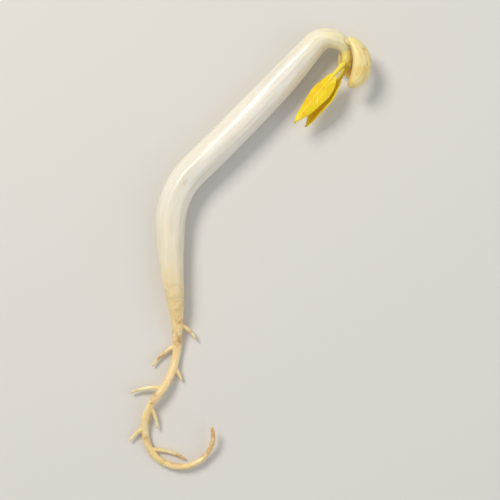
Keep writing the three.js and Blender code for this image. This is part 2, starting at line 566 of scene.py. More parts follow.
@dataclass(frozen=True)
class Fade:
    """A smooth change from one value to another as a number goes from low to high.

    Attributes:
        low: The number at which the change starts.
        high: The number at which it ends.
        first: The value up to low.
        second: The value from high on.
    """

    low: float
    high: float
    first: float
    second: float


@dataclass(frozen=True)
class Bump:
    """How a pattern stands out of a skin.

    Attributes:
        strength: How strongly it shows.
        depth: How high it stands, in millimetres.
    """

    strength: float
    depth: float


@dataclass(frozen=True)
class Flesh:
    """How light goes into a skin.

    Attributes:
        weight: How much of the light goes in.
        depth: How far it goes, in millimetres.
        reach: How far each colour goes, as shares of the depth.
    """

    weight: float
    depth: float
    reach: Triple


@dataclass(frozen=True)
class Coat:
    """A thin moist coat.

    Attributes:
        weight: How much of it there is.
        roughness: How dull it is.
    """

    weight: float
    roughness: float


class Finish:
    """A material under construction, with short ways to add its nodes."""

    def __init__(self, name: str) -> None:
        """Starts a material with one principled shader.

        Args:
            name: The material's name.
        """
        self.material = bpy.data.materials.new(name)
        self.material.use_nodes = True
        self.tree = self.material.node_tree
        self.shader = self.tree.nodes["Principled BSDF"]

    def node(self, kind: str, **settings: object) -> bpy.types.Node:
        """Adds a node and sets its options.

        Args:
            kind: The node's type.
            **settings: Its options by name.

        Returns:
            The node.
        """
        made = self.tree.nodes.new(kind)
        for option, value in settings.items():
            setattr(made, option, value)
        return made

    def feed(self, target: bpy.types.NodeSocket, value: object) -> None:
        """Links an output to an input, or sets the input to a plain value.

        Args:
            target: The input.
            value: An output socket, or a number, colour or vector.
        """
        if isinstance(value, bpy.types.NodeSocket):
            self.tree.links.new(value, target)
        else:
            target.default_value = value

    def colour(self, value: object) -> None:
        """Sets the skin's colour."""
        self.feed(self.shader.inputs["Base Color"], value)

    def dullness(self, value: object) -> None:
        """Sets how dull the skin is."""
        self.feed(self.shader.inputs["Roughness"], value)

    def layer(self, layer: Layer) -> bpy.types.NodeSocket:
        """Reads one of the piece's own attributes.

        Args:
            layer: The attribute.

        Returns:
            Its vector for GRAIN, and its number for the others.
        """
        reader = self.node("ShaderNodeAttribute", attribute_name=layer.value)
        return reader.outputs["Vector" if layer is Layer.GRAIN else "Fac"]

    def places(self) -> bpy.types.NodeSocket:
        """Reads the piece's object coordinates."""
        return self.node("ShaderNodeTexCoord").outputs["Object"]

    def pattern(self, kind: str, vector: bpy.types.NodeSocket, cloud: Cloud) -> bpy.types.Node:
        """Adds a texture that is read at a scaled place.

        Args:
            kind: The texture node's type.
            vector: The place that it is read at.
            cloud: How fine it is.

        Returns:
            The texture node.
        """
        mapping = self.node("ShaderNodeMapping")
        self.feed(mapping.inputs["Vector"], vector)
        self.feed(mapping.inputs["Scale"], (cloud.across, cloud.along, cloud.across))
        made = self.node(kind)
        self.feed(made.inputs["Vector"], mapping.outputs["Vector"])
        self.feed(made.inputs["Scale"], 1.0)
        return made

    def cloud(self, vector: bpy.types.NodeSocket, cloud: Cloud) -> bpy.types.NodeSocket:
        """Adds a noise pattern.

        Args:
            vector: The place that it is read at.
            cloud: How fine it is.

        Returns:
            The noise, about 0.5.
        """
        made = self.pattern("ShaderNodeTexNoise", vector, cloud)
        self.feed(made.inputs["Detail"], cloud.octaves)
        self.feed(made.inputs["Roughness"], cloud.grit)
        return made.outputs["Fac"]

    def cells(self, vector: bpy.types.NodeSocket, cloud: Cloud) -> bpy.types.NodeSocket:
        """Adds a pattern of skin cells and returns the distance from the middle of each."""
        return self.pattern("ShaderNodeTexVoronoi", vector, cloud).outputs["Distance"]

    def ramp(self, factor: bpy.types.NodeSocket, stops: Sequence[float],
             colours: Sequence[Colour]) -> bpy.types.NodeSocket:
        """Turns a number into a colour.

        Args:
            factor: The number.
            stops: The numbers at which the colours stand, in order.
            colours: The colour at each stop.

        Returns:
            The colour.
        """
        made = self.node("ShaderNodeValToRGB")
        elements = made.color_ramp.elements
        while len(elements) < len(stops):
            elements.new(stops[len(elements)])
        for element, stop, colour in zip(elements, stops, colours):
            element.position = stop
            element.color = colour
        self.feed(made.inputs["Fac"], factor)
        return made.outputs["Color"]

    def faded(self, factor: bpy.types.NodeSocket, fade: Fade) -> bpy.types.NodeSocket:
        """Turns a number into another by a smooth change, held at its ends.

        Args:
            factor: The number.
            fade: The change.

        Returns:
            The new number.
        """
        made = self.node("ShaderNodeMapRange", interpolation_type="SMOOTHSTEP")
        self.feed(made.inputs["Value"], factor)
        self.feed(made.inputs["From Min"], fade.low)
        self.feed(made.inputs["From Max"], fade.high)
        self.feed(made.inputs["To Min"], fade.first)
        self.feed(made.inputs["To Max"], fade.second)
        return made.outputs["Result"]

    def mixed(self, factor: object, first: object, second: object) -> bpy.types.NodeSocket:
        """Mixes two colours.

        Args:
            factor: The share of the second.
            first: The first colour.
            second: The second colour.

        Returns:
            The mixed colour.
        """
        made = self.node("ShaderNodeMix", data_type="RGBA")
        self.feed(made.inputs[MIX_FACTOR], factor)
        self.feed(made.inputs[MIX_FIRST], first)
        self.feed(made.inputs[MIX_SECOND], second)
        return made.outputs[MIX_RESULT]

    def times(self, first: object, second: object) -> bpy.types.NodeSocket:
        """Multiplies two numbers.

        Args:
            first: The first number.
            second: The second number.

        Returns:
            The product.
        """
        made = self.node("ShaderNodeMath", operation="MULTIPLY")
        self.feed(made.inputs[0], first)
        self.feed(made.inputs[1], second)
        return made.outputs[0]

    def bumped(self, height: bpy.types.NodeSocket, bump: Bump) -> None:
        """Raises the skin by a pattern, on top of any that is there already.

        Args:
            height: The pattern.
            bump: How it stands out.
        """
        made = self.node("ShaderNodeBump")
        self.feed(made.inputs["Strength"], bump.strength)
        self.feed(made.inputs["Distance"], bump.depth * MM)
        self.feed(made.inputs["Height"], height)
        normal = self.shader.inputs["Normal"]
        if normal.links:
            self.feed(made.inputs["Normal"], normal.links[0].from_socket)
        self.feed(normal, made.outputs["Normal"])

    def flesh(self, flesh: Flesh) -> None:
        """Lets light into the skin.

        Args:
            flesh: How the light goes in.
        """
        self.feed(self.shader.inputs["Subsurface Weight"], flesh.weight)
        self.feed(self.shader.inputs["Subsurface Scale"], flesh.depth * MM)
        self.feed(self.shader.inputs["Subsurface Radius"], flesh.reach)

    def coat(self, coat: Coat) -> None:
        """Lays a thin moist coat on the skin."""
        self.feed(self.shader.inputs["Coat Weight"], coat.weight)
        self.feed(self.shader.inputs["Coat Roughness"], coat.roughness)


@dataclass(frozen=True)
class StemSkin:
    """Moist pearly stem skin: tan at the collar, white along the stem, cream at the crook."""

    collar: Colour = tone(240, 215, 158)
    low: Colour = tone(239, 228, 198)
    white: Colour = tone(241, 235, 221)
    crook: Colour = tone(244, 236, 206)
    node: Colour = tone(242, 224, 146)
    watery: Colour = tone(219, 211, 188)
    core: Colour = tone(250, 248, 240)
    blemish: Colour = tone(206, 166, 104)
    earthy: Colour = tone(186, 132, 68)
    # Shares of the stem's length: where its tones stand, where its streaks come in and its earthy marks end.
    stops: tuple[float, ...] = (0.0, 0.03, 0.15, 0.34, 0.8, 0.9, 1.0)
    past_collar: Fade = Fade(0.03, 0.15, 0.0, 1.0)
    near_root: Fade = Fade(0.03, 0.1, 1.0, 0.0)
    # Each pattern, with how its noise turns into a share of its tone.
    streaks: Cloud = Cloud(2.6, 0.1, 5.0, 0.62)
    streak_fade: Fade = Fade(0.46, 0.68, 0.0, 0.58)
    threads: Cloud = Cloud(5.0, 0.16)
    thread_fade: Fade = Fade(0.56, 0.7, 0.0, 0.45)
    spots: Cloud = Cloud(1.1, 0.3, 6.0, 0.7)
    spot_fade: Fade = Fade(0.62, 0.76, 0.0, 0.5)
    patches: Cloud = Cloud(620.0, 620.0, 5.0, 0.65)
    patch_fade: Fade = Fade(0.48, 0.72, 0.0, 0.8)
    dull_fade: Fade = Fade(0.3, 0.7, 0.26, 0.44)
    fibres: Cloud = Cloud(8.0, 0.7)
    fibre_bump: Bump = Bump(0.3, 0.03)
    skin_cells: Cloud = Cloud(14.0, 3.2)
    cell_bump: Bump = Bump(0.14, 0.02)
    flesh: Flesh = Flesh(0.6, 1.0, (1.0, 0.84, 0.6))
    coat: Coat = Coat(0.35, 0.14)

    def material(self) -> bpy.types.Material:
        """Builds the material.

        Returns:
            The material.
        """
        finish = Finish("pearly_stem_skin")
        along = finish.layer(Layer.ALONG)
        grain = finish.layer(Layer.GRAIN)
        colours = (self.collar, self.collar, self.low, self.white, self.white, self.crook, self.node)
        base = finish.ramp(along, self.stops, colours)
        past_collar = finish.faded(along, self.past_collar)
        streaks = finish.cloud(grain, self.streaks)
        streak = finish.times(past_collar, finish.faded(streaks, self.streak_fade))
        threads = finish.cloud(grain, self.threads)
        thread = finish.times(past_collar, finish.faded(threads, self.thread_fade))
        threaded = finish.mixed(thread, finish.mixed(streak, base, self.watery), self.core)
        spot = finish.faded(finish.cloud(grain, self.spots), self.spot_fade)
        spotted = finish.mixed(spot, threaded, self.blemish)
        patches = finish.faded(finish.cloud(finish.places(), self.patches), self.patch_fade)
        patch = finish.times(finish.faded(along, self.near_root), patches)
        finish.colour(finish.mixed(patch, spotted, self.earthy))
        finish.dullness(finish.faded(streaks, self.dull_fade))
        finish.bumped(finish.cloud(grain, self.fibres), self.fibre_bump)
        finish.bumped(finish.cells(grain, self.skin_cells), self.cell_bump)
        finish.flesh(self.flesh)
        finish.coat(self.coat)
        return finish.material


@dataclass(frozen=True)
class RootSkin:
    """Thin root skin: cream at the collar, tan along the thread, browner in patches and at the tip."""

    collar: Colour = StemSkin.collar
    thread: Colour = tone(246, 218, 156)
    tip: Colour = tone(218, 168, 98)
    dark: Colour = StemSkin.earthy
    pale: Colour = tone(252, 240, 198)
    stops: tuple[float, ...] = (0.05, 0.15, 0.85, 1.0)
    past_collar: Fade = Fade(0.04, 0.12, 0.0, 1.0)
    lights: Cloud = Cloud(2.0, 0.35, 4.0, 0.6)
    light_fade: Fade = Fade(0.5, 0.7, 0.0, 0.7)
    patches: Cloud = StemSkin.patches
    patch_fade: Fade = StemSkin.patch_fade
    dull_fade: Fade = Fade(0.3, 0.7, 0.32, 0.5)
    fibres: Cloud = Cloud(7.0, 0.9, 4.0)
    fibre_bump: Bump = Bump(0.45, 0.045)
    flesh: Flesh = Flesh(0.5, 0.7, (1.0, 0.75, 0.45))
    coat: Coat = Coat(0.3, 0.16)

    def material(self) -> bpy.types.Material:
        """Builds the material.

        Returns:
            The material.
        """
        finish = Finish("amber_root_skin")
        along = finish.layer(Layer.ALONG)
        grain = finish.layer(Layer.GRAIN)
        base = finish.ramp(along, self.stops, (self.collar, self.thread, self.thread, self.tip))
        lights = finish.faded(finish.cloud(grain, self.lights), self.light_fade)
        light = finish.times(finish.faded(along, self.past_collar), lights)
        patches = finish.cloud(finish.places(), self.patches)
        patch = finish.faded(patches, self.patch_fade)
        finish.colour(finish.mixed(patch, finish.mixed(light, base, self.pale), self.dark))
        finish.dullness(finish.faded(patches, self.dull_fade))
        finish.bumped(finish.cloud(grain, self.fibres), self.fibre_bump)
        finish.flesh(self.flesh)
        finish.coat(self.coat)
        return finish.material


@dataclass(frozen=True)
class StalkSkin:
    """Pale yellow skin of the epicotyl, its bud and its scales."""

    low: Colour = StemSkin.node
    high: Colour = tone(246, 222, 92)
    stops: tuple[float, ...] = (0.1, 0.9)
    streaks: Cloud = Cloud(4.0, 0.8)
    dull_fade: Fade = Fade(0.3, 0.7, 0.34, 0.5)
    streak_bump: Bump = Bump(0.35, 0.04)
    flesh: Flesh = Flesh(0.5, 0.7, (1.0, 0.85, 0.35))
    coat: Coat = Coat(0.15, 0.25)

    def material(self) -> bpy.types.Material:
        """Builds the material.

        Returns:
            The material.
        """
        finish = Finish("pale_stalk_skin")
        finish.colour(finish.ramp(finish.layer(Layer.ALONG), self.stops, (self.low, self.high)))
        streaks = finish.cloud(finish.layer(Layer.GRAIN), self.streaks)
        finish.dullness(finish.faded(streaks, self.dull_fade))
        finish.bumped(streaks, self.streak_bump)
        finish.flesh(self.flesh)
        finish.coat(self.coat)
        return finish.material


@dataclass(frozen=True)
class DownSkin:
    """Fine clear down, which catches the light."""

    hair: Colour = tone(250, 244, 214)
    warm: Colour = StalkSkin.low
    clouds: Cloud = Cloud(2500.0, 2500.0, 1.0)
    warm_fade: Fade = Fade(0.4, 0.6, 0.0, 0.5)
    dull: float = 0.4

    def material(self) -> bpy.types.Material:
        """Builds the material.

        Returns:
            The material.
        """
        finish = Finish("fine_down")
        warmth = finish.faded(finish.cloud(finish.places(), self.clouds), self.warm_fade)
        finish.colour(finish.mixed(warmth, self.hair, self.warm))
        finish.dullness(self.dull)
        return finish.material


@dataclass(frozen=True)
class SeedLeafSkin:
    """Cream yellow seed leaf: paler on its ridges, with golden painted shade in its wrinkles and in the
    hollow of its face, and tan at its edge.
    """

    back: Colour = tone(246, 228, 160)
    ruck: Colour = tone(234, 198, 100)
    # Painted shade: the golden colour laid in the back's wrinkles and in the face's hollow.
    hollow: Colour = tone(220, 170, 70)
    edge: Colour = tone(208, 158, 74)
    freckle: Colour = tone(178, 126, 62)
    clouds: Cloud = Cloud(420.0, 420.0, 4.0, 0.55)
    ruck_fade: Fade = Fade(0.42, 0.66, 0.0, 0.7)
    # How the depth in a wrinkle or in the hollow turns into a share of painted shade.
    painted_shade_fade: Fade = Fade(0.25, 1.0, 0.0, 0.75)
    edge_fade: Fade = Fade(0.5, 1.0, 0.0, 0.6)
    freckles: Cloud = Cloud(1500.0, 1500.0, 4.0, 0.6)
    freckle_fade: Fade = Fade(0.63, 0.74, 0.0, 0.5)
    dull_fade: Fade = Fade(0.3, 0.7, 0.38, 0.56)
    ridges: Cloud = Cloud(5.0, 1.6, 5.0, 0.6)
    ridge_bump: Bump = Bump(0.4, 0.05)
    flesh: Flesh = Flesh(0.45, 0.8, (1.0, 0.8, 0.3))
    coat: Coat = Coat(0.15, 0.25)

    def material(self) -> bpy.types.Material:
        """Builds the material.

        Returns:
            The material.
        """
        finish = Finish("cream_seed_leaf_skin")
        places = finish.places()
        clouds = finish.cloud(places, self.clouds)
        base = finish.mixed(finish.faded(clouds, self.ruck_fade), self.back, self.ruck)
        # Painted shade: darker golden laid in the wrinkles and in the face's hollow.
        wrinkle = finish.faded(finish.layer(Layer.VEIN), self.painted_shade_fade)
        shaded_in_hollows = finish.mixed(wrinkle, base, self.hollow)
        rim = finish.faded(finish.layer(Layer.EDGE), self.edge_fade)
        rimmed = finish.mixed(rim, shaded_in_hollows, self.edge)
        freckles = finish.faded(finish.cloud(places, self.freckles), self.freckle_fade)
        finish.colour(finish.mixed(freckles, rimmed, self.freckle))
        finish.dullness(finish.faded(clouds, self.dull_fade))
        finish.bumped(finish.cloud(finish.layer(Layer.GRAIN), self.ridges), self.ridge_bump)
        finish.flesh(self.flesh)
        finish.coat(self.coat)
        return finish.material


@dataclass(frozen=True)
class FirstLeafSkin:
    """Bright yellow young leaf: paler veins, a deeper blade, a pale stalk and a faintly browned tip."""

    blade: Colour = tone(252, 218, 0)
    deep: Colour = tone(240, 186, 0)
    vein: Colour = tone(254, 230, 52)
    stalk: Colour = tone(248, 226, 84)
    rim: Colour = tone(254, 226, 40)
    tip: Colour = tone(204, 146, 24)
    mottle: Cloud = Cloud(560.0, 560.0, 5.0, 0.6)
    deep_fade: Fade = Fade(0.4, 0.68, 0.0, 0.75)
    rim_fade: Fade = Fade(0.8, 1.0, 0.0, 0.6)
    vein_fade: Fade = Fade(0.1, 0.9, 0.0, 0.65)
    stalk_fade: Fade = Fade(0.08, 0.3, 0.9, 0.0)
    tip_fade: Fade = Fade(0.92, 1.0, 0.0, 1.2)
    dull_fade: Fade = Fade(0.3, 0.7, 0.36, 0.54)
    skin_cells: Cloud = Cloud(5200.0, 5200.0)
    cell_bump: Bump = Bump(0.25, 0.03)
    flesh: Flesh = Flesh(0.35, 0.5, (1.0, 0.75, 0.1))

    def material(self) -> bpy.types.Material:
        """Builds the material.

        Returns:
            The material.
        """
        finish = Finish("bright_first_leaf_skin")
        places = finish.places()
        along = finish.layer(Layer.ALONG)
        mottle = finish.cloud(places, self.mottle)
        base = finish.mixed(finish.faded(mottle, self.deep_fade), self.blade, self.deep)
        rimmed = finish.mixed(finish.faded(finish.layer(Layer.EDGE), self.rim_fade), base, self.rim)
        veined = finish.mixed(finish.faded(finish.layer(Layer.VEIN), self.vein_fade), rimmed, self.vein)
        stalked = finish.mixed(finish.faded(along, self.stalk_fade), veined, self.stalk)
        browning = finish.times(finish.faded(along, self.tip_fade), mottle)
        finish.colour(finish.mixed(browning, stalked, self.tip))
        finish.dullness(finish.faded(mottle, self.dull_fade))
        finish.bumped(finish.cells(places, self.skin_cells), self.cell_bump)
        finish.flesh(self.flesh)
        return finish.material


@dataclass
class Shoot:
    """The line that the stem and the epicotyl grow along, from the collar round the crook.

    Attributes:
        collar: Where the stem meets the root.
        heading: The stem's heading there, in degrees.
        stem: The stretches that the stem grows in up to the crook.
        crook_radius: The radius of the crook.
        crook_turn: The turn of the stem's quarter of the crook, in degrees.
        crook_rise: How far that quarter climbs.
        epicotyl_turn: The turn of the epicotyl's quarter of the crook, in degrees.
        epicotyl_rise: How far that quarter climbs.
        node: How far along the line the stem ends, at the node of the seed leaves.
        end: How far along the line the epicotyl ends.
        spine: The line itself.
    """

    node: float = field(init=False)
    end: float = field(init=False)
    spine: Spine = field(init=False)
    collar: Vector = field(default_factory=lambda: Vector((-9.38, -5.95, 1.86)))
    heading: float = 97.0
    stem: tuple[Stretch, ...] = (
        Stretch(8.8, -6.0, 0.0),
        Stretch(8.0, -47.0, 0.0),
        Stretch(15.5, 3.0, 0.0),
        Stretch(6.2, 1.0, 0.35),
    )
    crook_radius: float = 2.3
    crook_turn: float = -90.0
    crook_rise: float = 0.7
    epicotyl_turn: float = -88.0
    epicotyl_rise: float = -0.1

    def __post_init__(self) -> None:
        """Walks the line."""
        quarter = self.crook_radius * QUARTER_TURN
        stem = (*self.stem, Stretch(quarter, self.crook_turn, self.crook_rise))
        epicotyl = Stretch(quarter, self.epicotyl_turn, self.epicotyl_rise)
        self.node = sum(stretch.length for stretch in stem)
        self.end = self.node + quarter
        self.spine = Spine(self.collar, self.heading, (*stem, epicotyl))


@dataclass
class Hypocotyl:
    """The thick white stem, from the collar round the crook to the node of the seed leaves.

    Attributes:
        shoot: The line that the stem grows along.
        knots: Its half thickness at distances from the collar.
        node_knots: Its half thickness at distances from the node.
    """

    shoot: Shoot
    knots: Knots = (
        (-2.0, 0.5), (-1.0, 0.94), (0.0, 1.13), (0.8, 1.22), (3.5, 1.51),
        (9.0, 1.84), (17.0, 1.98), (25.0, 2.01), (33.0, 1.87),
    )
    node_knots: Knots = ((-3.6, 1.52), (-1.2, 1.22), (-0.2, 1.07), (0.6, 0.84), (1.4, 0.66), (2.2, 0.48))
    # Its rings along the stem, its sides, and the length of its round ends.
    rings: int = 400
    sides: int = 96
    cap: float = 0.3
    # Slow lumps, which are sunk a little as a whole, and faint ribs along the stem.
    lumps: Ripple = Ripple(0.12, 3.0, 7.0)
    lump_sink: float = 0.036
    ribs: Ripple = Ripple(0.026, 16.0, 9.0, 4.0)
    # Creases on the bend of the crook, which come in between these distances from the node.
    creases: Ripple = Ripple(0.05, 2.0, 0.35, 9.0)
    crease_start: float = -5.5
    crease_end: float = -2.5
    # An uneven seam with the root, and where past the collar the rest of the relief comes in.
    seam: Ripple = Ripple(0.02, 6.0, 1.0)
    relief_reach: Pair = (0.2, 2.0)
    # Sleeping side roots: the first from the collar, the rest up from it, each turned on by so many radians.
    bumps: int = 9
    bump_first: float = 1.4
    bump_spacing: float = 0.8
    bump_turn: float = 2.4
    bump_radius: float = 1.3
    bump_height: float = 0.05
    bump_width: float = 0.3

    def bump_rise(self, angle: float, along: float) -> float:
        """The rise of the sleeping side roots, which stand low on the stem, each turned on from the last.

        Args:
            angle: The angle round the stem, in radians.
            along: The distance along the stem, in millimetres.

        Returns:
            The rise, in millimetres.
        """
        rise = 0.0
        for bump in range(self.bumps):
            past = along - self.bump_first - self.bump_spacing * bump
            turn = angle - self.bump_turn * bump
            gap = math.atan2(math.sin(turn), math.cos(turn)) * self.bump_radius
            rise += self.bump_height * hill(math.hypot(gap, past), self.bump_width)
        return rise

    def relief(self, angle: float, along: float) -> float:
        """The skin's small rises: slow lumps, faint ribs, crook creases and sleeping side roots.

        Args:
            angle: The angle round the stem, in radians.
            along: The distance along the stem, in millimetres.

        Returns:
            The rise, in millimetres.
        """
        node = self.shoot.node
        bent = ease(along, node + self.crease_start, node + self.crease_end) * clamp(math.cos(angle))
        rise = self.lumps.at(angle, along) - self.lump_sink + self.ribs.at(angle, along)
        rise += bent * self.creases.at(angle, along) + self.bump_rise(angle, along)
        return rise * ease(along, *self.relief_reach) + self.seam.at(angle, 0.0)

    def build(self) -> bpy.types.Object:
        """Builds the stem.

        Returns:
            The stem.
        """
        profile = Profile(*self.knots, *moved(self.node_knots, self.shoot.node))
        mesh = turned(profile, self.rings, self.sides, self.cap)
        swell(mesh, self.relief)
        self.shoot.spine.lay(mesh)
        rest_on_surface(mesh)
        return place(mesh, "stem", StemSkin().material(), ("hypocotyl",))


@dataclass
class Root:
    """The tan taproot with its side roots.

    Attributes:
        shoot: The line of the stem that the root hangs from.
        stretches: The stretches that it grows in, down from the collar.
        knots: Its half thickness at distances from the collar.
        tip: Its half thickness at its tip.
        spine: The line that it grows along.
    """

    shoot: Shoot
    spine: Spine = field(init=False)
    stretches: tuple[Stretch, ...] = (
        Stretch(7.0, -12.0, -1.3),
        Stretch(6.0, -38.0, 0.75),
        Stretch(6.5, 62.0, -0.75),
        Stretch(8.5, 112.0, 0.35),
        Stretch(4.5, 66.0, 0.9),
    )
    knots: Knots = (
        (-1.2, 1.16), (0.0, 1.13), (0.9, 1.03), (2.2, 0.86),
        (4.0, 0.69), (9.0, 0.5), (19.5, 0.44), (31.5, 0.28),
    )
    tip: float = 0.18
    rings: int = 460
    sides: int = 40
    cap: float = 0.25
    # Its relief, and where past the collar it comes in.
    wrinkles: Ripple = Ripple(0.09, 7.0, 2.4, 2.0)
    swellings: Ripple = Ripple(0.08, 1.5, 0.9, 6.0)
    relief_reach: Pair = (0.2, 2.6)
    # Its side roots: their number, where the first stands from the collar, and how far apart they are.
    side_roots: int = 7
    side_root_first: float = 3.2
    side_root_spacing: float = 2.9
    # Their length, how much it goes up and down, and by how many radians a side root.
    side_root_length: float = 3.4
    side_root_spread: float = 1.3
    side_root_pace: float = 2.4
    # Their half thickness, its flare at the base, where the flare ends, and the taper, as shares.
    side_root_radius: float = 0.25
    side_root_flare: float = 1.3
    side_root_foot: float = 0.8
    side_root_taper: Knots = ((0.6, 0.85), (1.0, 0.5))
    # How they leave the taproot and bend back, and what share of the way down to a low point they sink.
    side_root_angle: float = 62.0
    side_root_bend: float = 34.0
    side_root_low_point: float = 0.45
    side_root_drop: float = 0.7
    # Their rings and sides, and the height, number round and pitch of their relief.
    side_root_rings: int = 50
    side_root_sides: int = 20
    side_root_relief: float = 0.22
    side_root_lumps: float = 2.0
    side_root_pitch: float = 0.7
    # The size of the remesh that fuses them.
    voxel: float = 0.055

    def __post_init__(self) -> None:
        """Walks the root's line down from the collar."""
        downwards = self.shoot.heading - FULL_CIRCLE / 2.0
        self.spine = Spine(self.shoot.collar, downwards, self.stretches)

    def relief(self, angle: float, along: float) -> float:
        """The root's lengthwise wrinkles and its swellings.

        Args:
            angle: The angle round the root, in radians.
            along: The distance along the root, in millimetres.

        Returns:
            The rise, in millimetres.
        """
        rise = self.wrinkles.at(angle, along) + self.swellings.at(angle, along)
        return rise * ease(along, *self.relief_reach)

    def side_root(self, number: int) -> bmesh.types.BMesh:
        """Builds one side root, thinning to its end and bending back towards the taproot's tip.

        Args:
            number: Its number down the taproot.

        Returns:
            The side root.
        """
        hand = 1.0 if number % 2 == 0 else -1.0
        distance = self.side_root_first + number * self.side_root_spacing
        base = self.spine.frame(distance).translation
        length = self.side_root_length + self.side_root_spread * math.sin(self.side_root_pace * number)
        heading = self.spine.heading(distance) + hand * self.side_root_angle
        rise = (self.side_root_low_point - base.z) * self.side_root_drop
        spine = Spine(base, heading, (Stretch(length, -hand * self.side_root_bend, rise),))
        thick = self.side_root_radius
        taper = [(length * spot, thick * share) for spot, share in self.side_root_taper]
        profile = Profile((0.0, thick * self.side_root_flare), (self.side_root_foot, thick), *taper)
        mesh = turned(profile, self.side_root_rings, self.side_root_sides, thick)
        ripple = Ripple(self.side_root_relief, self.side_root_lumps, self.side_root_pitch, number)
        swell(mesh, ripple.at)
        spine.lay(mesh)
        return mesh

    def build(self) -> bpy.types.Object:
        """Builds the root.

        Returns:
            The root.
        """
        profile = Profile(*self.knots, (self.spine.length, self.tip))
        mesh = turned(profile, self.rings, self.sides, self.cap)
        swell(mesh, self.relief)
        self.spine.lay(mesh)
        for number in range(self.side_roots):
            add_to(mesh, self.side_root(number))
        skin = fused(mesh, self.voxel)
        rest_on_surface(skin)
        return place(skin, "taproot", RootSkin().material(), ("root",))


@dataclass
class Epicotyl:
    """The short pale stalk above the seed leaves, with its end bud and the scales beside its leaf stalks.

    Attributes:
        shoot: The line that the stalk grows along.
        start: Where it starts, past the node.
        foot_knots: Its half thickness at distances from its start.
        top_knots: Its half thickness at distances from the foot of the bud.
        bud_knots: The bud's half thickness at distances from its foot.
        bud_tip: The bud's half thickness at its tip.
    """

    shoot: Shoot
    start: float = 0.4
    foot_knots: Knots = ((0.0, 0.5), (0.8, 0.64), (1.4, 0.62))
    top_knots: Knots = ((-0.2, 0.64), (0.2, 0.56), (0.55, 0.4))
    bud_knots: Knots = ((-0.2, 0.3), (0.4, 0.25))
    bud_tip: float = 0.08
    bud_length: float = 0.9
    rings: int = 60
    sides: int = 40
    cap: float = 0.3
    ripples: Ripple = Ripple(0.05, 6.0, 2.0)
    bud_rings: int = 24
    bud_sides: int = 20
    bud_cap: float = 0.1
    # The scales: where they stand round the stalk from the leaves' sides, and their size and mesh.
    scale_turns: Pair = (0.0, 180.0)
    scale_length: float = 0.95
    scale_radius: float = 0.24
    scale_tip_radius: float = 0.02
    scale_sides: int = 20
    scale_cuts: int = 2
    # How deep they are sunk, how flat they are, how far out they stand and lean, and how far below the bud.
    scale_sink: float = 0.2
    scale_flatness: float = 0.55
    scale_offset: float = 0.5
    scale_lean: float = 26.0
    scale_drop: float = 0.1
    # How far the pair of leaves is turned round the stalk, and the size of the remesh.
    leaf_roll: float = -24.0
    voxel: float = 0.045

    def scale(self, turn: float) -> bmesh.types.BMesh:
        """Builds one small pointed scale at the leaf node.

        Args:
            turn: Where it stands round the stalk, in degrees from the side.

        Returns:
            The scale.
        """
        mesh = bmesh.new()
        bmesh.ops.create_cone(mesh, cap_ends=True, cap_tris=True, segments=self.scale_sides,
                              radius1=self.scale_radius, radius2=self.scale_tip_radius,
                              depth=self.scale_length)
        bmesh.ops.subdivide_edges(mesh, edges=mesh.edges[:], cuts=self.scale_cuts, use_grid_fill=True)
        foot = Matrix.Translation((0.0, 0.0, self.scale_length / 2.0 - self.scale_sink))
        flat = Matrix.Diagonal((self.scale_flatness, 1.0, 1.0, 1.0))
        upright = Matrix.Rotation(-QUARTER_TURN, 4, "X")
        lean = Matrix.Rotation(-math.radians(self.scale_lean), 4, "Z")
        outward = Matrix.Translation((self.scale_offset, 0.0, 0.0)) @ lean
        around = Matrix.Rotation(-math.radians(turn), 4, "Y")
        mesh.transform(around @ outward @ upright @ flat @ foot)
        mesh.transform(Matrix.Translation((0.0, self.shoot.end - self.bud_length - self.scale_drop, 0.0)))
        return mesh

    def build(self) -> bpy.types.Object:
        """Builds the epicotyl.

        Returns:
            The epicotyl.
        """
        start = self.shoot.node + self.start
        top = self.shoot.end - self.bud_length
        stalk = Profile(*moved(self.foot_knots, start), *moved(self.top_knots, top))
        bud = Profile(*moved(self.bud_knots, top), (self.shoot.end, self.bud_tip))
        mesh = turned(stalk, self.rings, self.sides, self.cap)
        swell(mesh, self.ripples.at)
        add_to(mesh, turned(bud, self.bud_rings, self.bud_sides, self.bud_cap))
        for turn in self.scale_turns:
            add_to(mesh, self.scale(turn + self.leaf_roll))
        self.shoot.spine.lay(mesh)
        skin = fused(mesh, self.voxel)
        return place(skin, "epicotyl_stalk", StalkSkin().material(), ("epicotyl",))


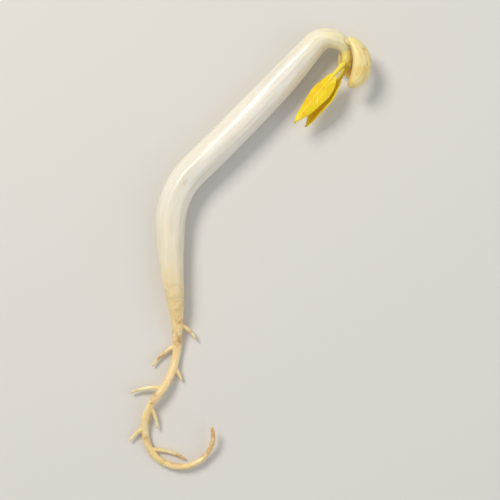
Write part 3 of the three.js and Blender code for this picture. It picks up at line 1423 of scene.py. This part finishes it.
@dataclass
class SeedLeaf:
    """One seed leaf: half a bean, round and wrinkled on its back, hollow on its face, on a short stalk.

    It is shaped from a ball, whose height runs from -1 on the leaf's face to 1 on its back.

    Attributes:
        shoot: The line that the seed leaf is fixed on.
        name: The piece's name.
        node: The CAD node that it stands for.
        around: Where it is fixed on the stem, in degrees, 0 on the crook's outside and 90 on top.
        length: Its length.
        width: Its width.
        thickness: Its thickness.
        turn: Its turn to the left along its length, in degrees.
        rise: How far it climbs along its length.
        seed: What sets its wrinkles apart.
        back_reach: The heights between which the back's relief comes in.
        face_reach: The depths between which the face's hollow comes in.
        stalk_knots: The stalk's half thickness along it, as shares of its radius and length.
    """

    shoot: Shoot
    name: str
    node: str
    around: float
    length: float
    width: float
    thickness: float
    turn: float
    rise: float
    seed: float
    # How far past the node it is fixed, how far out from the line, and the mesh of its ball.
    start: float = 0.3
    offset: float = 1.28
    meridians: int = 150
    parallels: int = 100
    # How full its base is, and the share of its length at which it is fullest.
    base_fullness: float = 0.72
    full_from: float = 0.55
    # How round its face is beside its back, how far it bows sideways, and how much of its depth is hollow.
    flatness: float = 0.28
    bow: float = 0.55
    bow_middle: float = 0.5
    hollow: float = 0.22
    back_reach: Pair = (-0.1, 0.35)
    face_reach: Pair = (0.3, 1.0)
    # Its lumps and wrinkles: their heights, how fine they are on the ball, how narrow a wrinkle is, and how
    # much calmer its sides are.
    lump_height: float = 0.12
    lump_scale: Pair = (1.7, 1.9)
    wrinkle_height: float = 0.09
    wrinkle_scale: Triple = (5.0, 1.3, 2.0)
    wrinkle_sharpness: float = 5.0
    side_calm: float = 0.5
    # How sharply its edge stands out from its back in colour.
    edge_sharpness: float = 2.5
    # Its stalk, which starts behind its place on the stem and ends inside the leaf.
    stalk_radius: float = 0.42
    stalk_knots: Knots = ((0.0, 1.3), (0.6, 1.0), (1.0, 1.1))
    stalk_foot: float = -0.7
    stalk_end: float = 0.9
    stalk_rings: int = 20
    stalk_sides: int = 24
    stalk_cap: float = 0.2
    # The size of the remesh.
    voxel: float = 0.055

    def wrinkle(self, across: float, along: float, outward: float, lumps: float) -> float:
        """How deep in a wrinkle a place on the ball lies.

        Args:
            across: The place across the leaf, from -1 to 1.
            along: The place along it, from -1 to 1.
            outward: The height, from -1 to 1.
            lumps: The lumps there, which bend the wrinkles.

        Returns:
            From 0 beside the wrinkles to 1 in the middle of one.
        """
        across_scale, along_scale, outward_scale = self.wrinkle_scale
        spot = Vector((
            across * across_scale + lumps,
            along * along_scale - self.seed,
            outward * outward_scale,
        ))
        middle = (1.0 - along * along) * (1.0 - across * across * self.side_calm)
        return ease(1.0 - abs(noise.noise(spot)) * self.wrinkle_sharpness, 0.0, 1.0) * middle

    def shape(self, vertex: bmesh.types.BMVert, edge: bmesh.types.BMLayerItem,
              furrow: bmesh.types.BMLayerItem) -> None:
        """Moves one corner of the ball to its place on the straight seed leaf.

        Args:
            vertex: The corner.
            edge: The layer that keeps how near the corner is to the leaf's edge.
            furrow: The layer that keeps how deep in a wrinkle or in the hollow the corner lies, where the
                finish paints shade.
        """
        across, along, outward = vertex.co
        across_scale, along_scale = self.lump_scale
        share = (1.0 + along) / 2.0
        fullness = blend(self.base_fullness, 1.0, ease(share, 0.0, self.full_from))
        lumps = noise.noise(Vector((across * across_scale + self.seed, along * along_scale, outward)))
        wrinkle = self.wrinkle(across, along, outward, lumps)
        back = ease(outward, *self.back_reach)
        face = ease(-outward, *self.face_reach)
        crown = outward * self.thickness * (1.0 if outward > 0.0 else self.flatness)
        crown += back * (self.lump_height * lumps - self.wrinkle_height * wrinkle)
        crown += face * self.hollow * self.thickness
        vertex[edge] = 1.0 - min(1.0, abs(outward) * self.edge_sharpness)
        # The finish paints shade where this is high: in the back's wrinkles and in the face's hollow.
        vertex[furrow] = max(wrinkle * back, face)
        vertex.co = Vector((
            across * self.width / 2.0 * fullness + self.bow * (along * along - self.bow_middle),
            share * self.length,
            crown * fullness,
        ))

    def stalk(self, node: Matrix, leaf: Matrix) -> bmesh.types.BMesh:
        """Builds the short stalk that fixes the seed leaf to the node.

        Args:
            node: The place on the stem.
            leaf: The place in the seed leaf.

        Returns:
            The stalk.
        """
        foot = node @ Vector((0.0, self.stalk_foot, 0.0))
        reach = leaf.translation - foot
        knots = [(reach.length * spot, self.stalk_radius * share) for spot, share in self.stalk_knots]
        mesh = turned(Profile(*knots), self.stalk_rings, self.stalk_sides, self.stalk_cap)
        mesh.transform(reach.to_track_quat("Y", "Z").to_matrix().to_4x4())
        mesh.transform(Matrix.Translation(foot))
        return mesh

    def build(self) -> bpy.types.Object:
        """Builds the seed leaf.

        Returns:
            The seed leaf.
        """
        mesh = bmesh.new()
        bmesh.ops.create_uvsphere(mesh, u_segments=self.meridians, v_segments=self.parallels, radius=1.0)
        mesh.transform(Matrix.Rotation(-QUARTER_TURN, 4, "X"))
        edge = mesh.verts.layers.float.new(Layer.EDGE.value)
        furrow = mesh.verts.layers.float.new(Layer.VEIN.value)
        for vertex in mesh.verts:
            self.shape(vertex, edge, furrow)
        keep_grain(mesh)
        roll = QUARTER_CIRCLE - self.around
        fixed_at = self.shoot.node + self.start
        node = self.shoot.spine.frame(fixed_at, roll)
        base = node @ Vector((0.0, 0.0, self.offset))
        heading = self.shoot.spine.heading(fixed_at)
        spine = Spine(base, heading, (Stretch(self.length, self.turn, self.rise),))
        spine.lay(mesh, roll)
        add_to(mesh, self.stalk(node, spine.frame(self.stalk_end, roll)))
        skin = fused(mesh, self.voxel, 1)
        rest_on_surface(skin)
        return place(skin, self.name, SeedLeafSkin().material(), (self.node,))


@dataclass
class FirstLeaf:
    """One of the pair of first leaves: a folded, veined blade on a short stalk.

    Places along the leaf are shares of its length where a field doesn't say otherwise.

    Attributes:
        shoot: The line that the leaf grows from.
        name: The piece's name.
        node: The CAD node that it stands for.
        roll: How far it is turned round the head's axis, in degrees, 0 with its back up.
        length: Its length.
        width: Its width before folding.
        turn: Its turn to the left along its length, in degrees.
        swing: How far it is swung to the left at its base, in degrees.
        opening: How far it stands off from its pair.
        seed: What sets its puckers apart.
        rib_knots: The midrib's half thickness along the leaf, as shares of the stalk's.
    """

    shoot: Shoot
    name: str
    node: str
    roll: float
    length: float
    width: float
    turn: float
    swing: float
    opening: float
    seed: float
    # How far out from the line it is fixed, its thickness, and the grid that it is shaped from.
    offset: float = 0.72
    thickness: float = 0.22
    columns: int = 84
    rows: int = 260
    # Its outline: how near the base it is widest, how full it is, and how narrow its ends are.
    outline_lead: float = 0.7
    outline_fullness: float = 0.85
    base_share: float = 0.6
    tip_half_width: float = 0.05
    # How much of an arch its standing off makes along it.
    opening_pace: float = 0.6
    # Its fold along the midrib: how steep and how soft it is, and where it runs out.
    fold: float = 0.42
    fold_softness: float = 0.2
    fold_end: Pair = (0.8, 1.0)
    # Its waved edge, with its pace in radians a length, the edge's turn down, and the puckers of its blade.
    wave: float = 0.1
    wave_pace: float = 15.0
    curl: float = 0.16
    curl_power: int = 6
    pucker: float = 0.06
    pucker_scale: Pair = (1.8, 1.5)
    # Its stalk: its share of the length, its half thickness, and its foot and waist before the leaf's base.
    petiole_share: float = 0.14
    petiole_radius: float = 0.34
    petiole_foot: float = 1.35
    petiole_flare: float = 1.1
    petiole_waist: float = 0.5
    # Where its blade and its veins come in, in lengths of the stalk, and where the veins run out.
    blade_start: Pair = (0.6, 2.2)
    vein_start: Pair = (1.0, 2.0)
    vein_end: Pair = (0.88, 0.98)
    # Its side veins: how far apart they are, how far the two sides are out of step, and their slant and sway.
    vein_spacing: float = 0.82
    vein_stagger: float = 0.5
    vein_slant: float = 0.85
    vein_sweep: float = 0.4
    vein_sway: float = 0.12
    vein_sway_scale: Pair = (1.5, 0.9)
    # How wide and high they are, from what share of the leaf's width they thin, and to what share of theirs.
    vein_width: float = 0.065
    vein_height: float = 0.05
    vein_taper_start: float = 0.28
    vein_taper: float = 0.7
    # How strongly they show at the edge and at the midrib, and how wide the midrib is beside them.
    vein_strengths: Pair = (0.3, 0.8)
    midrib_width: float = 1.6
    midrib_end: Pair = (0.85, 1.0)
    # The round rib under the midrib, how far it is sunk below the midline, and where it gets there.
    rib_knots: Knots = ((0.14, 0.8), (0.34, 0.48), (0.8, 0.24))
    rib_rings: int = 120
    rib_sides: int = 24
    rib_cap: float = 0.1
    rib_sink: float = 0.08
    rib_sink_reach: Pair = (0.1, 0.3)
    # The size of the remesh.
    voxel: float = 0.042

    def half_width(self, share: float) -> float:
        """Half the width of the flat leaf at a share of its length.

        Args:
            share: The share of the length.

        Returns:
            Half the width: a thin stalk, then a long pointed blade.
        """
        blade = clamp((share - self.petiole_share) / (1.0 - self.petiole_share))
        outline = math.sin(math.pi * blade ** self.outline_lead) ** self.outline_fullness
        least = blend(self.petiole_radius * self.base_share, self.tip_half_width, blade)
        return least + (self.width / 2.0 - least) * outline

    def midline(self, share: float) -> float:
        """How far the leaf's midline stands off from its spine at a share of its length."""
        return self.opening * math.sin(math.pi * clamp(share) * self.opening_pace)

    def side_vein(self, across: float, along: float) -> float:
        """How strongly a side vein stands out at a place on the blade.

        Args:
            across: The distance from the midrib, in millimetres.
            along: The distance from the leaf's base, in millimetres.

        Returns:
            From 0 between the side veins to nearly 1 on one.
        """
        reach = abs(across)
        across_scale, along_scale = self.vein_sway_scale
        sway = noise.noise(Vector((across * across_scale, along * along_scale, self.seed)))
        start = along + self.vein_sway * sway - reach * self.vein_slant - reach * reach * self.vein_sweep
        number = start / self.vein_spacing + (self.vein_stagger if across > 0.0 else 0.0)
        gap = abs(number % 1.0 - 0.5) * self.vein_spacing
        nearness = 1.0 - ease(reach, self.width * self.vein_taper_start, self.width / 2.0)
        width = self.vein_width * blend(self.vein_taper, 1.0, nearness)
        return hill(gap, width) * blend(*self.vein_strengths, nearness)

    def veins(self, across: float, along: float, share: float) -> float:
        """How strongly a vein stands out at a place on the blade.

        Args:
            across: The distance from the midrib, in millimetres.
            along: The distance from the leaf's base, in millimetres.
            share: The share of the length.

        Returns:
            From 0 between the veins to 1 on the midrib.
        """
        start, full = (self.petiole_share * part for part in self.vein_start)
        veined = ease(share, start, full) * (1.0 - ease(share, *self.vein_end))
        strength = 1.0 - ease(share, *self.midrib_end)
        midrib = hill(abs(across), self.vein_width * self.midrib_width) * strength
        return max(self.side_vein(across, along) * veined, midrib)

    def shape(self, vertex: bmesh.types.BMVert, layers: dict[Layer, bmesh.types.BMLayerItem]) -> None:
        """Moves one corner of a flat grid to its place on the straight leaf.

        Args:
            vertex: The corner, with its place across in X and along in Y, each from -1 to 1.
            layers: The layers that the finish reads.
        """
        across, share = vertex.co.x, (vertex.co.y + 1.0) / 2.0
        half = self.half_width(share)
        reach, along = across * half, share * self.length
        start, full = (self.petiole_share * part for part in self.blade_start)
        blade = ease(share, start, full)
        fold = self.fold * blade * (1.0 - ease(share, *self.fold_end))
        crease = math.hypot(across, self.fold_softness) - self.fold_softness
        wave = self.wave * across * across * math.sin(share * self.wave_pace + across)
        curl = self.curl * across ** self.curl_power
        across_scale, along_scale = self.pucker_scale
        pucker = self.pucker * noise.noise(Vector((reach * across_scale, along * along_scale, self.seed)))
        vein = self.veins(reach, along, share)
        relief = blade * (wave - curl + pucker) + self.vein_height * vein
        vertex[layers[Layer.ALONG]] = share
        vertex[layers[Layer.EDGE]] = abs(across)
        vertex[layers[Layer.VEIN]] = vein
        vertex.co = Vector((reach, along, self.midline(share) - fold * half * crease + relief))

    def blade(self) -> bmesh.types.BMesh:
        """Builds the straight blade, with its thickness.

        Returns:
            The blade.
        """
        mesh = bmesh.new()
        bmesh.ops.create_grid(mesh, x_segments=self.columns, y_segments=self.rows, size=1.0)
        kinds = (Layer.ALONG, Layer.EDGE, Layer.VEIN)
        layers = {layer: mesh.verts.layers.float.new(layer.value) for layer in kinds}
        for vertex in mesh.verts:
            self.shape(vertex, layers)
        bmesh.ops.recalc_face_normals(mesh, faces=mesh.faces[:])
        bmesh.ops.solidify(mesh, geom=mesh.faces[:], thickness=self.thickness)
        bmesh.ops.recalc_face_normals(mesh, faces=mesh.faces[:])
        return mesh

    def rib(self) -> bmesh.types.BMesh:
        """Builds the straight stalk and the rib that it runs into.

        Returns:
            The stalk and the rib as one piece.
        """
        thick = self.petiole_radius
        foot = ((-self.petiole_foot, thick * self.petiole_flare), (-self.petiole_waist, thick))
        knots = [(self.length * spot, thick * share) for spot, share in self.rib_knots]
        mesh = turned(Profile(*foot, *knots), self.rib_rings, self.rib_sides, self.rib_cap)
        along = mesh.verts.layers.float[Layer.ALONG.value]
        for vertex in mesh.verts:
            share = clamp(vertex.co.y / self.length)
            vertex[along] = share
            vertex.co.z += self.midline(share) - self.rib_sink * ease(share, *self.rib_sink_reach)
        return mesh

    def lay(self, mesh: bmesh.types.BMesh) -> None:
        """Bends the straight leaf into place, its foot inside the epicotyl and the rest along its own line.

        Args:
            mesh: The straight leaf, which is changed.
        """
        end = self.shoot.end
        start = self.shoot.spine.frame(end, self.roll) @ Vector((0.0, 0.0, self.offset))
        heading = self.shoot.spine.heading(end) + self.swing
        line = Spine(start, heading, (Stretch(self.length, self.turn, 0.0),))
        for vertex in mesh.verts:
            across = Vector((vertex.co.x, 0.0, vertex.co.z))
            if vertex.co.y > 0.0:
                vertex.co = line.frame(vertex.co.y, self.roll) @ across
            else:
                across.z += self.offset * (1.0 - ease(-vertex.co.y, 0.0, self.petiole_foot))
                vertex.co = self.shoot.spine.frame(end + vertex.co.y, self.roll) @ across

    def build(self) -> bpy.types.Object:
        """Builds the leaf.

        Returns:
            The leaf.
        """
        mesh = self.blade()
        add_to(mesh, self.rib())
        self.lay(mesh)
        skin = fused(mesh, self.voxel, 1)
        return place(skin, self.name, FirstLeafSkin().material(), (self.node,))


@dataclass
class Down:
    """Fine hairs that stand on a round piece.

    Attributes:
        name: The name of the hairs as one piece.
        slot: The record's slot of the skin that they stand on; not used.
        spine: The line of the piece that they stand on.
        start: Where the first may stand, along the line.
        end: Where the last may stand, along the line.
        radius: How far from the line they are fixed.
        hairs: Their number.
        shortest: The shortest hair.
        longest: The longest hair.
        thickness: The radius of a hair's foot.
        tip_share: The radius of its tip, as a share of its foot's.
        lean: How far a hair leans towards the end of the line, in degrees.
        lean_spread: How much more or less it may lean.
        sides: The number of its sides.
        seed: What sets the hairs' places apart.
    """

    name: str
    slot: Slot
    spine: Spine
    start: float
    end: float
    radius: float
    hairs: int
    shortest: float
    longest: float
    thickness: float = 0.014
    tip_share: float = 0.2
    lean: float = 35.0
    lean_spread: float = 20.0
    sides: int = 3
    seed: int = 11

    def build(self) -> bpy.types.Object:
        """Builds the hairs, without those that would leave the sprout's box.

        Returns:
            The hairs as one piece.
        """
        chance = random.Random(self.seed)
        mesh = bmesh.new()
        for _ in range(self.hairs):
            foot = self.spine.frame(chance.uniform(self.start, self.end), chance.uniform(0.0, FULL_CIRCLE))
            lean = math.radians(self.lean + chance.uniform(-self.lean_spread, self.lean_spread))
            length = chance.uniform(self.shortest, self.longest)
            stand = foot @ Matrix.Translation((0.0, 0.0, self.radius)) @ Matrix.Rotation(-lean, 4, "X")
            if in_box(stand @ Vector((0.0, 0.0, length))):
                middle = Matrix.Translation((0.0, 0.0, length / 2.0))
                bmesh.ops.create_cone(mesh, cap_ends=True, cap_tris=True, segments=self.sides,
                                      radius1=self.thickness, radius2=self.thickness * self.tip_share,
                                      depth=length, matrix=stand @ middle)
        return place(mesh, self.name, DownSkin().material())


@dataclass(frozen=True)
class Lamp:
    """A soft square light that faces the sprout.

    Attributes:
        name: Its name.
        spot: Where it is, in metres.
        size: Its width, in metres.
        power: Its power, in watts.
        colour: Its colour.
    """

    name: str
    spot: Triple
    size: float
    power: float
    colour: Colour

    def build(self) -> None:
        """Adds the light to the scene."""
        spot = Vector(self.spot)
        data = bpy.data.lights.new(self.name, "AREA")
        data.size = self.size
        data.energy = self.power
        data.color = self.colour[:3]
        lamp = bpy.data.objects.new(self.name, data)
        lamp.location = spot
        lamp.rotation_euler = (-spot).to_track_quat("-Z", "Y").to_euler()
        bpy.context.scene.collection.objects.link(lamp)


@dataclass
class Studio:
    """The pale floor, the soft lights and the camera that looks straight down.

    Attributes:
        floor_size: The width of the floor, in metres.
        floor_colour: The floor's colour.
        floor_dull: How dull the floor is.
        sky_colour: The colour of the even sky.
        sky_strength: How bright the sky is.
        lamps: The lights.
        lens: The camera's focal length, in millimetres.
        sensor: The width of the camera's picture, in millimetres.
        nearest: How near the camera sees, in metres.
        filled: The share of the picture's height that the sprout takes.
    """

    floor_size: float = 3.0
    floor_colour: Colour = tone(224, 221, 214)
    floor_dull: float = 0.7
    sky_colour: Colour = tone(238, 241, 246)
    sky_strength: float = 0.48
    lamps: tuple[Lamp, ...] = (
        Lamp("key_light", (-0.2, 0.22, 0.34), size=0.16, power=1.24, colour=tone(255, 249, 240)),
        Lamp("fill_light", (0.34, -0.1, 0.26), size=0.4, power=0.46, colour=tone(244, 247, 255)),
    )
    lens: float = 100.0
    sensor: float = 36.0
    nearest: float = 0.001
    filled: float = 0.9

    def floor(self) -> None:
        """Builds the floor."""
        mesh = bmesh.new()
        bmesh.ops.create_grid(mesh, x_segments=2, y_segments=2, size=self.floor_size / 2.0)
        data = bpy.data.meshes.new("floor")
        mesh.to_mesh(data)
        mesh.free()
        finish = Finish("pale_floor")
        finish.colour(self.floor_colour)
        finish.dullness(self.floor_dull)
        data.materials.append(finish.material)
        floor = bpy.data.objects.new("floor", data)
        bpy.context.scene.collection.objects.link(floor)

    def sky(self) -> None:
        """Sets an even pale sky."""
        world = bpy.data.worlds.new("soft_sky")
        world.use_nodes = True
        background = world.node_tree.nodes["Background"]
        background.inputs["Color"].default_value = self.sky_colour
        background.inputs["Strength"].default_value = self.sky_strength
        bpy.context.scene.world = world

    def camera(self) -> None:
        """Adds the camera, straight above the middle of the sprout's box."""
        low, high = (Vector(corner) for corner in CAD_BOX)
        middle = (low + high) / 2.0
        reach = max(high.x - low.x, high.y - low.y) / self.filled
        data = bpy.data.cameras.new("camera")
        data.lens = self.lens
        data.sensor_width = self.sensor
        data.clip_start = self.nearest
        camera = bpy.data.objects.new("camera", data)
        camera.location = Vector((middle.x, middle.y, high.z + reach * self.lens / self.sensor))
        bpy.context.scene.collection.objects.link(camera)
        bpy.context.scene.camera = camera

    def build(self) -> None:
        """Builds the whole studio."""
        self.floor()
        self.sky()
        for lamp in self.lamps:
            lamp.build()
        self.camera()
        view = bpy.context.scene.view_settings
        view.view_transform = "Standard"
        view.look = "None"


def main() -> None:
    """Builds the studio and every piece of the sprout in order."""
    logging.basicConfig(level=logging.INFO, format="%(name)s: %(message)s")
    Studio().build()
    shoot = Shoot()
    root = Root(shoot)
    builders = (
        Hypocotyl(shoot),
        root,
        Epicotyl(shoot),
        SeedLeaf(shoot, "outer_seed_leaf", "cotyledon_outer", around=34.0, length=6.8, width=3.25,
                 thickness=1.5, turn=-84.0, rise=-0.5, seed=1.0),
        SeedLeaf(shoot, "lower_seed_leaf", "cotyledon_lower", around=-104.0, length=4.8, width=2.65,
                 thickness=1.05, turn=-34.0, rise=-0.85, seed=5.0),
        FirstLeaf(shoot, "upper_first_leaf", "first_leaf_upper", roll=-24.0, length=9.2, width=2.5, turn=3.0,
                  swing=-3.0, opening=0.35, seed=2.0),
        FirstLeaf(shoot, "lower_first_leaf", "first_leaf_lower", roll=152.0, length=8.6, width=2.4, turn=-2.0,
                  swing=3.5, opening=0.15, seed=8.0),
        Down("stalk_down", Slot.STALK, shoot.spine, start=shoot.node + 0.9, end=shoot.end - 0.8, radius=0.55,
             hairs=260, shortest=0.24, longest=0.52),
        Down("root_hairs", Slot.ROOT, root.spine, start=13.0, end=root.spine.length - 2.0, radius=0.3,
             hairs=420, shortest=0.3, longest=0.6),
    )
    for builder in builders:
        piece = builder.build()
        LOG.info("%s has %d faces", piece.name, len(piece.data.polygons))


if __name__ == "__main__":
    main()
